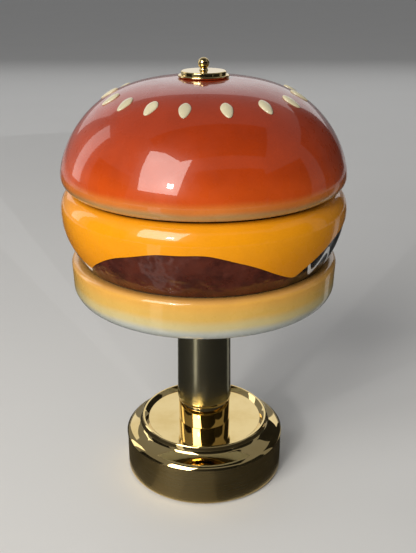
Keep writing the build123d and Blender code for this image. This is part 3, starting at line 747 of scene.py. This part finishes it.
@dataclass
class Filling:
    """Patty ring and the cheese slice that drapes over it."""

    cheese: float = 0.8 * MM
    wall: float = 3.0 * MM
    groove_r: float = 74.1 * MM
    flange_r: float = 66.5 * MM
    rise: float = 11.1 * MM
    side_r: float = 51.0 * MM
    corner: float = 38.5
    corner_up: float = 6.4 * MM
    arch: float = 21.3 * MM
    arch_powers: tuple[float, float] = (0.77, 1.15)
    ripples: tuple[tuple[float, int, int], ...] = ((0.35 * MM, 7, 0), (0.3 * MM, 19, 1))
    tip_radius: float = 1.2 * MM
    slice_rows: int = 46
    slice_facets: int = 384
    shoulder_share: float = 0.35
    skin_dip: float = 0.1 * MM
    skin_swell: float = 0.12 * MM
    skin_onset: float = 4.0
    patty_rows: int = 52
    patty_facets: int = 480
    panel_blend: float = 0.03
    lump_blend: float = 0.05
    lump_scale: float = 75.0
    lump_noise: tuple[float, float, int] = (0.9, 2.1, 4)
    lump_fade: float = 1.5 * MM
    edge_fade: float = 2.0 * MM
    lump_height: float = 0.9 * MM
    wave_up: float = 10.0 * MM
    wave_swing: float = 5.2 * MM
    wave_half: float = 1.9 * MM
    wave_soft: float = 4.0 * MM
    waves: float = 6.0

    def __post_init__(self) -> None:
        """Reads the filling's size from the frame."""
        low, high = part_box("patty_ring")
        self.foot = low[2]
        self.top = high[2]
        self.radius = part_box("cheese_slice")[1][0]
        self.belt = self.top - self.rise

    def side(self, height: float) -> float:
        """Radius of the cheese below the belt, at a height."""
        return self.radius - self.side_r + math.sqrt(self.side_r**2 - (self.belt - height) ** 2)

    def surface(self, height: float) -> float:
        """Radius of the cheese at any height."""
        if height <= self.belt:
            return self.side(height)
        share = min(1.0, (height - self.belt) / self.rise)
        return self.groove_r + (self.radius - self.groove_r) * math.sqrt(1 - share * share)

    def phase(self, azimuth: float) -> float:
        """Share of the way from one cheese corner to the next, azimuth in degrees from the front."""
        return ((azimuth - self.corner) / 90.0) % 1.0

    def edge(self, azimuth: float) -> float:
        """Height of the cheese's lower edge at an azimuth.

        Args:
            azimuth: Degrees from the front, towards +X.

        Returns:
            The height in metres.
        """
        phase = self.phase(azimuth)
        rising, falling = self.arch_powers
        bow = max(0.0, math.sin(math.pi * phase)) ** (rising if phase < 0.5 else falling) * self.arch
        turn = math.radians(azimuth)
        wobble = sum(size * math.sin(count * turn + shift) for size, count, shift in self.ripples)
        lift = math.hypot(bow, self.tip_radius) - self.tip_radius
        return self.foot + self.corner_up + lift + wobble * bow / self.arch

    def slice(self) -> bpy.types.Object:
        """Builds the cheese: a turned skin whose lower edge is drawn up into four arches.

        Returns:
            The piece.
        """
        rows = self.slice_rows
        outline = Outline([(self.radius, self.top - k * MM) for k in range(rows + 1)])
        piece = outline.turn("cheese_drape", self.slice_facets, 60)
        bm = bmesh.new()
        bm.from_mesh(piece.data)
        for v in bm.verts:
            row = (self.top - v.co.z) / MM / rows
            turn = math.atan2(v.co.x, -v.co.y)
            if row < self.shoulder_share:
                climb = math.pi / 2 * (1 - row / self.shoulder_share)
                z = self.belt + self.rise * math.sin(climb)
                r = self.groove_r + (self.radius - self.groove_r) * math.cos(climb)
            else:
                share = (row - self.shoulder_share) / (1 - self.shoulder_share)
                z = self.belt + (self.edge(math.degrees(turn)) - self.belt) * share
                r = self.surface(z)
            swell = self.skin_swell * noise.noise(Vector((turn * 2.2, z * 60, 3.0)))
            r += min(0.0, swell - self.skin_dip) * min(1.0, row * self.skin_onset)
            v.co = Vector((r * math.sin(turn), -r * math.cos(turn), z))
        bmesh.ops.recalc_face_normals(bm, faces=bm.faces)
        bm.to_mesh(piece.data)
        bm.free()
        facing_out(piece, Vector((0, 0, self.belt)))
        thicken(piece, self.cheese - self.skin_dip, 0.3 * MM)
        return piece

    def ring(self) -> bpy.types.Object:
        """Builds the patty ring, lumpy where it shows, and marks its side panels.

        Returns:
            The piece.
        """
        inset = self.cheese
        outline = Outline().to((self.flange_r, self.top))
        outline.arc((self.groove_r - inset, self.belt), self.radius - self.groove_r, self.rise, 90, 0, 12)
        for k in range(1, self.patty_rows + 1):
            z = self.belt + (self.foot - self.belt) * k / self.patty_rows
            outline.to((self.side(z) - inset, z))
        piece = outline.turn("patty_band", self.patty_facets, 60)
        bm = bmesh.new()
        bm.from_mesh(piece.data)
        side = bm.verts.layers.float.new("side")
        wave = bm.verts.layers.float.new("wave")
        for v in bm.verts:
            azimuth = math.degrees(math.atan2(v.co.x, -v.co.y))
            quarter = int(((azimuth - self.corner) / 90.0) % 4)
            phase = self.phase(azimuth)
            near = min(phase, 1 - phase)
            flat = quarter % 2 == 0
            v[side] = 0.5 + (0.5 if flat else -0.5) * min(1.0, near / self.panel_blend)
            clear = max(0.0, min(1.0, (self.edge(azimuth) - v.co.z) / self.edge_fade))
            if not flat:
                lump = noise.fractal(v.co * self.lump_scale, *self.lump_noise) * clear
                lump *= min(1.0, near / self.lump_blend)
                low = min(1.0, (v.co.z - self.foot) / self.lump_fade)
                out = Vector((v.co.x, v.co.y, 0)).normalized()
                v.co += out * max(-1.0, min(0.5, lump)) * self.lump_height * low
            crest = self.foot + self.wave_up + self.wave_swing * math.sin(math.tau * phase * self.waves)
            v[wave] = 0.5 - (abs(v.co.z - crest) - self.wave_half) / self.wave_soft * 0.5
        bm.to_mesh(piece.data)
        bm.free()
        facing_out(piece, Vector((0, 0, self.belt)))
        thicken(piece, self.wall)
        return piece

    def build(self) -> None:
        """Builds and dresses the ring and the slice."""
        ring = self.ring()
        dress(ring, PattyGlaze().make("patty_glaze"))
        stand_for(ring, "patty_ring", "shade")
        glaze = Glaze(self.foot, self.top, (
            (0.0, (0.80, 0.29, 0.002)), (0.35, (0.84, 0.30, 0.002)), (0.75, (0.88, 0.33, 0.004)),
            (1.0, (0.86, 0.32, 0.006)),
        ), 0.03)
        cheese = self.slice()
        dress(cheese, glaze.make("cheese_glaze"))
        stand_for(cheese, "cheese_slice", "shade")


@dataclass
class BottomBun:
    """Glass pan with a round lower edge."""

    wall: float = 3.0 * MM
    hole_r: float = 44.0 * MM
    corner: float = 9.5 * MM
    shoulder: float = 3.0 * MM
    flare: float = 0.4 * MM
    flange_r: float = 66.5 * MM
    facets: int = 256

    def build(self) -> None:
        """Builds and dresses the pan."""
        low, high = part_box("bottom_bun")
        foot, top, radius = low[2], high[2], high[0] - self.flare
        outline = Outline().to((self.hole_r, foot))
        outline.arc((radius - self.corner, foot + self.corner), self.corner, self.corner, -90, 0, 16)
        outline.to((radius + self.flare / 2, (foot + self.corner + top - self.shoulder) / 2))
        middle = (radius + self.flare - self.shoulder, top - self.shoulder)
        outline.arc(middle, self.shoulder, self.shoulder, 0, 90, 10)
        outline.to((self.flange_r, top))
        pan = outline.turn("bottom_bun_shell", self.facets, 60)
        facing_out(pan, Vector((0, 0, (foot + top) / 2)))
        thicken(pan, self.wall)
        glaze = Glaze(foot, top, (
            (0.0, (0.46, 0.50, 0.52)), (0.20, (0.50, 0.52, 0.47)), (0.40, (0.60, 0.49, 0.23)),
            (0.62, (0.70, 0.43, 0.10)), (0.90, (0.76, 0.40, 0.075)), (1.0, (0.66, 0.33, 0.08)),
        ), 0.04)
        dress(pan, glaze.make("bottom_bun_glaze"))
        stand_for(pan, "bottom_bun", "shade")


# ---- turned brass -----------------------------------------------------------------------------------
@dataclass
class BrassWork:
    """Turned brass of the base and stem, with softened edges that catch the light."""

    facets: int = 224
    soft: float = 0.25 * MM
    tube_top_r: float = 16.2 * MM
    bore_r: float = 14.8 * MM
    ferrule_foot_r: float = 16.3 * MM
    bevel_bow: Point = (0.35 * MM, 0.35 * MM)
    cove_bow: Point = (-0.45 * MM, -0.6 * MM)
    edge_up: float = 0.8 * MM
    crease: Point = (3.8 * MM, 3.7 * MM)
    cove: Point = (8.1 * MM, 6.0 * MM)
    rim_in: float = 9.9 * MM
    rim_chamfer: float = 0.6 * MM
    rim_land: float = 1.0 * MM
    plate_r: float = 36.15 * MM
    plate_drop: float = 2.6 * MM
    plate_under: float = 4.6 * MM
    ledge_r: float = 33.9 * MM
    spigot_r: float = 12.0 * MM
    spigot_bore_r: float = 8.0 * MM
    lip_r: float = 14.75 * MM
    chamber_r: float = 13.3 * MM
    chamber_floor: float = 1.3 * MM

    def solid(self, name: str, outline: Outline) -> bpy.types.Object:
        """Turns a closed outline with softened corners.

        Args:
            name: Name of the piece.
            outline: Its corners, without the first one repeated.

        Returns:
            The piece.
        """
        start = Vector(outline.points[0]).lerp(Vector(outline.points[-1]), 0.5)
        around = Outline([tuple(start), *outline.points, tuple(start)])
        return around.softened(self.soft, 3, 12.0).turn(name, self.facets, 50)

    def bowed(self, start: Point, end: Point, bow: Point, steps: int = 7) -> list[Point]:
        """Points of a gently curved run.

        Args:
            start: Its first point.
            end: Its last point.
            bow: How far its middle lies off the straight line.
            steps: Number of runs.

        Returns:
            The points.
        """
        points = []
        for k in range(steps + 1):
            t = k / steps
            lift = 4 * t * (1 - t)
            points.append((start[0] + (end[0] - start[0]) * t + bow[0] * lift,
                           start[1] + (end[1] - start[1]) * t + bow[1] * lift))
        return points

    def ring(self) -> bpy.types.Object:
        """Builds the polished ring: double bevel, cove and raised rim.

        Returns:
            The piece.
        """
        low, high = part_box("base_ring")
        r, foot, rim = high[0], low[2], high[2]
        edge, crease = (r, foot + self.edge_up), (r - self.crease[0], foot + self.crease[1])
        cove = (r - self.cove[0], foot + self.cove[1])
        rim_out = (r - self.rim_in, rim - self.rim_chamfer)
        crest = rim_out[0] - self.rim_chamfer
        outline = Outline().to((self.ledge_r, foot), (r, foot))
        outline.to(*self.bowed(edge, crease, self.bevel_bow))
        outline.to(*self.bowed(cove, rim_out, self.cove_bow))
        outline.to((crest, rim), (crest - self.rim_land, rim))
        outline.to((self.plate_r, rim - self.plate_drop), (self.plate_r, rim - self.plate_under))
        outline.to((self.ledge_r, rim - self.plate_under))
        return self.solid("base_ring_turned", outline)

    def collar(self) -> bpy.types.Object:
        """Builds the collar with its threaded end and the cell chamber's foot.

        Returns:
            The piece.
        """
        low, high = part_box("stem_collar")
        plate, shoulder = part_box("base_plate")[1][2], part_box("tube_ferrule")[0][2]
        floor = plate + self.chamber_floor
        return self.solid("stem_collar_turned", Outline([
            (self.spigot_bore_r, low[2]), (self.spigot_r, low[2]), (self.spigot_r, plate), (high[0], plate),
            (high[0], shoulder), (self.lip_r, shoulder), (self.lip_r, high[2]), (self.chamber_r, high[2]),
            (self.chamber_r, floor), (self.spigot_bore_r, floor),
        ]))

    def sleeve(self, name: str, node: str, low_r: float, high_r: float) -> bpy.types.Object:
        """Builds a plain ring over a bore, as high as its CAD node.

        Args:
            name: Name of the piece.
            node: The CAD node.
            low_r: Radius of its foot.
            high_r: Radius of its head.

        Returns:
            The piece.
        """
        low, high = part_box(node)
        return self.solid(name, Outline([(self.bore_r, low[2]), (low_r, low[2]), (high_r, high[2]),
                                         (self.bore_r, high[2])]))

    def build(self, mirror: bpy.types.Material, satin: bpy.types.Material) -> None:
        """Builds and dresses the ring, the collar, the tube and its ferrule.

        Args:
            mirror: Finish of the polished pieces.
            satin: Finish of the tube, a satin brass whose colours are painted darker and greyer than the
                drum's brass, as painted shade under the lampshade.
        """
        tube_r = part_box("stem_tube")[1][0]
        ring = self.ring()
        collar = self.collar()
        tube = self.sleeve("stem_tube_turned", "stem_tube", tube_r, self.tube_top_r)
        ferrule = self.sleeve("ferrule_turned", "tube_ferrule", self.ferrule_foot_r, tube_r)
        for piece, node, finish, slot in (
            (ring, "base_ring", mirror, "polished_brass"),
            (collar, "stem_collar", mirror, "polished_brass"),
            (tube, "stem_tube", satin, "brushed_brass"),
            (ferrule, "tube_ferrule", mirror, "polished_brass"),
        ):
            dress(piece, finish)
            stand_for(piece, node, "stand")


# ---- button -----------------------------------------------------------------------------------------
@dataclass
class ButtonSpring:
    """Coil spring behind the push button. The real spring shortens as the button goes in; this coil stays
    at its rest length.
    """

    wire: float = 0.25 * MM
    turns: int = 4
    angle: float = 28.0
    travel: float = 1.5 * MM
    facets: int = 28
    wire_facets: int = 10

    def build(self, finish: BareMetal) -> None:
        """Winds the coil, dresses it and puts it in place of the CAD spring on the stand.

        Args:
            finish: Metal of the wire.
        """
        low, high = (Vector(corner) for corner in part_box("button_spring"))
        outer, middle = (high.z - low.z) / 2, (low + high) / 2
        turn = math.radians(self.angle)
        out = Vector((math.sin(turn), math.cos(turn), 0))
        length = ((high.y - low.y) - 2 * outer * math.sin(turn)) / math.cos(turn)
        pitch = (length - 2 * self.wire) / self.turns
        bm = bmesh.new()
        ring = bmesh.ops.create_circle(bm, cap_ends=True, segments=self.wire_facets,
                                       radius=self.wire)["verts"]
        start = Matrix.Translation((outer - self.wire, 0, 0)) @ Matrix.Rotation(math.pi / 2, 4, "X")
        bmesh.ops.transform(bm, matrix=start, verts=ring)
        bmesh.ops.spin(bm, geom=list(bm.faces), cent=(0, 0, 0), axis=(0, 0, 1),
                       dvec=(0, 0, pitch / self.facets), angle=math.tau * self.turns,
                       steps=self.turns * self.facets)
        foot = middle - out * (length / 2 - self.wire)
        lie = out.to_track_quat("Z", "X").to_matrix().to_4x4()
        bmesh.ops.transform(bm, matrix=Matrix.Translation(foot) @ lie, verts=bm.verts)
        bmesh.ops.recalc_face_normals(bm, faces=bm.faces)
        coil = finish_mesh(bm, "button_coil", 60)
        dress(coil, finish.make("spring_steel"))
        stand_for(coil, "button_spring", "stand")
        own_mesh(coil)


# ---- finishes of the carried-over pieces ------------------------------------------------------------
class Fittings:
    """Finishes of the pieces that keep their CAD shape."""

    def __init__(self) -> None:
        """Makes each finish once."""
        self.finishes = {
            "brushed_brass": Brass(Polish.BRUSHED).make("brushed_brass_turned"),
            "polished_brass": Brass(Polish.MIRROR).make("polished_brass_mirror"),
            "black_rubber": Rubber().make("soft_black_rubber"),
            "cast_iron": BareMetal((0.16, 0.16, 0.17), 0.6, 900.0, 0.0002).make("rough_cast_iron"),
            "black_plastic": Moulded((0.018, 0.018, 0.02), 0.5).make("moulded_black"),
            "board_green": Moulded((0.012, 0.16, 0.06), 0.35).make("board_mask"),
            "part_grey": Moulded((0.05, 0.05, 0.055), 0.4).make("board_parts"),
            "steel": BareMetal((0.60, 0.60, 0.62), 0.28).make("plated_steel"),
            "cell_wrap": Moulded((0.02, 0.16, 0.26), 0.25).make("cell_sleeve"),
            "lead_white": Rubber((0.72, 0.72, 0.70)).make("lead_insulation"),
            "aluminium": BareMetal((0.74, 0.75, 0.76), 0.35).make("satin_aluminium"),
            "board_white": Moulded((0.82, 0.82, 0.80), 0.4).make("white_board_mask"),
            "chip_yellow": Moulded((0.85, 0.62, 0.12), 0.35).make("phosphor"),
            "opal": Moulded((0.88, 0.87, 0.83), 0.5).make("opal_plastic"),
            "clear_light": Moulded((0.62, 0.75, 0.68), 0.15).make("light_pipe"),
        }

    def build(self) -> None:
        """Dresses every CAD node that shows."""
        for part in frame["record"]["subparts"]:
            finish = self.finishes.get(part["material_slot"])
            if finish is not None:
                dress(frame["nodes"][part["node"]], finish)
                LOG.info("%s: %s", part["node"], finish.name)


# ---- studio -----------------------------------------------------------------------------------------
@dataclass
class Studio:
    """Pale floor, soft lights, dark cloths for the brass to mirror, and the camera."""

    lens: float = 50.8
    sensor: float = 36.0
    distance: float = 439.4 * MM
    height: float = 308.6 * MM
    across: float = 2.4 * MM
    pitch: float = 22.05
    near_sectors: tuple[tuple[float, float, float], ...] = (
        (-150, -70, 0.012), (-70, -46, 0.025), (-46, -20, 0.085), (-20, 10, 0.055), (10, 118, 0.012),
        (128, 150, 0.012), (168, 205, 0.012),
    )
    far_sectors: tuple[tuple[float, float, float], ...] = (
        (-150, -41, 0.012), (-31, -18, 0.03), (-18, 118, 0.012), (128, 150, 0.012), (168, 205, 0.012),
    )
    ring_radii: tuple[float, float, float] = (51.8 * MM, 105.0 * MM, 1100.0 * MM)
    ring_height: float = 0.4 * MM
    sector_steps: int = 24
    floor_r: float = 14.0
    sky: tuple[float, float, float, float] = (0.91, 0.91, 0.92, 1.0)
    sky_strength: float = 0.23
    light_aim: Vector = field(default_factory=lambda: Vector((0, 0, 0.16)))
    card_aim: Vector = field(default_factory=lambda: Vector((0, 0, 0.12)))

    def camera(self) -> None:
        """Sets the camera."""
        data = bpy.data.cameras.new("camera")
        data.lens = self.lens
        data.sensor_width = self.sensor
        made = bpy.data.objects.new("camera", data)
        made.location = (self.across, -self.distance, self.height)
        made.rotation_euler = (math.radians(90 - self.pitch), 0, 0)
        bpy.context.scene.collection.objects.link(made)
        bpy.context.scene.camera = made

    def light(self, name: str, place: tuple[float, float, float], size: tuple[float, float], power: float,
              colour: Colour) -> None:
        """Adds a soft box aimed at the middle of the lamp.

        Args:
            name: Name of the light.
            place: Where it hangs.
            size: Width and height in metres.
            power: Watts.
            colour: Its colour.
        """
        data = bpy.data.lights.new(name, "AREA")
        data.shape = "RECTANGLE"
        data.size, data.size_y = size
        data.energy = power
        data.color = colour
        made = bpy.data.objects.new(name, data)
        made.location = place
        made.rotation_euler = (self.light_aim - Vector(place)).to_track_quat("-Z", "Y").to_euler()
        bpy.context.scene.collection.objects.link(made)

    def card(self, name: str, place: tuple[float, float, float], size: tuple[float, float]) -> None:
        """Adds a dark card that only reflections show, facing the lamp.

        Args:
            name: Name of the card.
            place: Its middle.
            size: Width and height in metres.
        """
        bm = bmesh.new()
        aim = (self.card_aim - Vector(place)).to_track_quat("Z", "Y").to_matrix().to_4x4()
        grid = bmesh.ops.create_grid(bm, x_segments=1, y_segments=1, size=0.5)["verts"]
        stretch = Matrix.Diagonal((size[0], size[1], 1, 1))
        bmesh.ops.transform(bm, matrix=Matrix.Translation(place) @ aim @ stretch, verts=grid)
        self.hang(finish_mesh(bm, name), name + "_cloth", (0.006, 0.006, 0.006), (0.012, 0.012, 0.012))

    def hang(self, piece: bpy.types.Object, cloth: str, dark: Colour, pale: Colour) -> None:
        """Covers a sheet with cloth and leaves it to reflections alone.

        Args:
            piece: The sheet.
            cloth: Name of the cloth.
            dark: Its darker threads.
            pale: Its paler threads.
        """
        s = Shader(cloth)
        s.set(Base_Color=s.mix(s.noise(300.0), dark, pale), Roughness=0.9)
        dress(piece, s.material)
        piece.visible_camera = False
        piece.visible_shadow = False
        piece.visible_diffuse = False

    def dark_ring(self) -> None:
        """Lays cloth sectors round the lamp in a near and a far ring, which only reflections show."""
        inner, middle, outer = self.ring_radii
        sectors = [(*sector, inner, middle) for sector in self.near_sectors]
        sectors += [(*sector, middle, outer) for sector in self.far_sectors]
        for k, (start, end, grey, near, far) in enumerate(sectors):
            bm = bmesh.new()
            begin = math.radians(start - 90)
            ray = Vector((math.cos(begin), math.sin(begin), 0))
            lift = Vector((0, 0, self.ring_height))
            verts = [bm.verts.new(ray * r + lift) for r in (near, far)]
            edge = bm.edges.new(verts)
            bmesh.ops.spin(bm, geom=verts + [edge], cent=(0, 0, 0), axis=(0, 0, 1), dvec=(0, 0, 0),
                           angle=math.radians(end - start), steps=self.sector_steps, use_merge=False)
            self.hang(finish_mesh(bm, f"dark_ring_{k}"), f"dark_ring_cloth_{k}", (grey, grey, grey),
                      (grey * 1.5, grey * 1.4, grey * 1.3))

    def floor(self) -> None:
        """Adds the pale floor."""
        bm = bmesh.new()
        bmesh.ops.create_circle(bm, cap_ends=True, segments=96, radius=self.floor_r)
        made = finish_mesh(bm, "floor")
        s = Shader("floor_paper")
        s.set(Base_Color=s.mix(s.noise(6.0, 3.0), (0.72, 0.72, 0.71), (0.75, 0.75, 0.74)), Roughness=0.7)
        dress(made, s.material)

    def world(self) -> None:
        """Sets the surrounding light."""
        world = bpy.data.worlds.new("studio")
        world.use_nodes = True
        world.node_tree.nodes["Background"].inputs[0].default_value = self.sky
        world.node_tree.nodes["Background"].inputs[1].default_value = self.sky_strength
        bpy.context.scene.world = world
        bpy.context.scene.view_settings.view_transform = "Standard"

    def build(self) -> None:
        """Builds the studio."""
        self.floor()
        self.world()
        for name, place, size, power, colour in (
            ("window", (-0.66, -0.95, 0.92), (0.78, 0.96), 16.0, (1.0, 0.96, 0.90)),
            ("lamp_spot", (-0.46, -0.97, 0.62), (0.09, 0.09), 2.2, (1.0, 0.97, 0.93)),
            ("left_wash", (-1.5, 0.7, 0.7), (0.4, 1.2), 2.4, (1.0, 0.97, 0.93)),
            ("right_wash", (1.6, 1.0, 0.7), (0.4, 1.2), 0.5, (0.96, 0.97, 1.0)),
            ("back_wash", (0.0, 1.8, 1.0), (3.0, 1.2), 7.5, (1.0, 1.0, 1.0)),
        ):
            self.light(name, place, size, power, colour)
        self.dark_ring()
        for name, place, size in (
            ("front_card", (0.30, -1.2, 0.50), (1.7, 1.2)),
            ("right_card", (1.1, -0.45, 0.35), (0.9, 0.9)),
            ("left_card", (-1.15, -0.25, 0.30), (0.8, 0.8)),
            ("back_right_card", (1.05, 0.75, 0.45), (1.0, 1.1)),
            ("ceiling_card", (0.1, -0.40, 1.35), (1.7, 0.8)),
        ):
            self.card(name, place, size)
        self.camera()


def main() -> None:
    """Builds the lamp and its studio."""
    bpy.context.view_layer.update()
    fittings = Fittings()
    fittings.build()
    TopBun().build()
    Filling().build()
    BottomBun().build()
    # Satin brass for the stem tube, its colours darker and greyer than the drum's brushed brass: painted
    # shade for the tube under the lampshade.
    satin = Brass(Polish.SATIN, 0.06, (0.60, 0.56, 0.38), (0.52, 0.48, 0.31)).make("satin_brass_tube_painted_shade")
    BrassWork().build(fittings.finishes["polished_brass"], satin)
    ButtonSpring().build(BareMetal((0.60, 0.60, 0.62), 0.25))
    Studio().build()


if __name__ == "__main__":
    main()
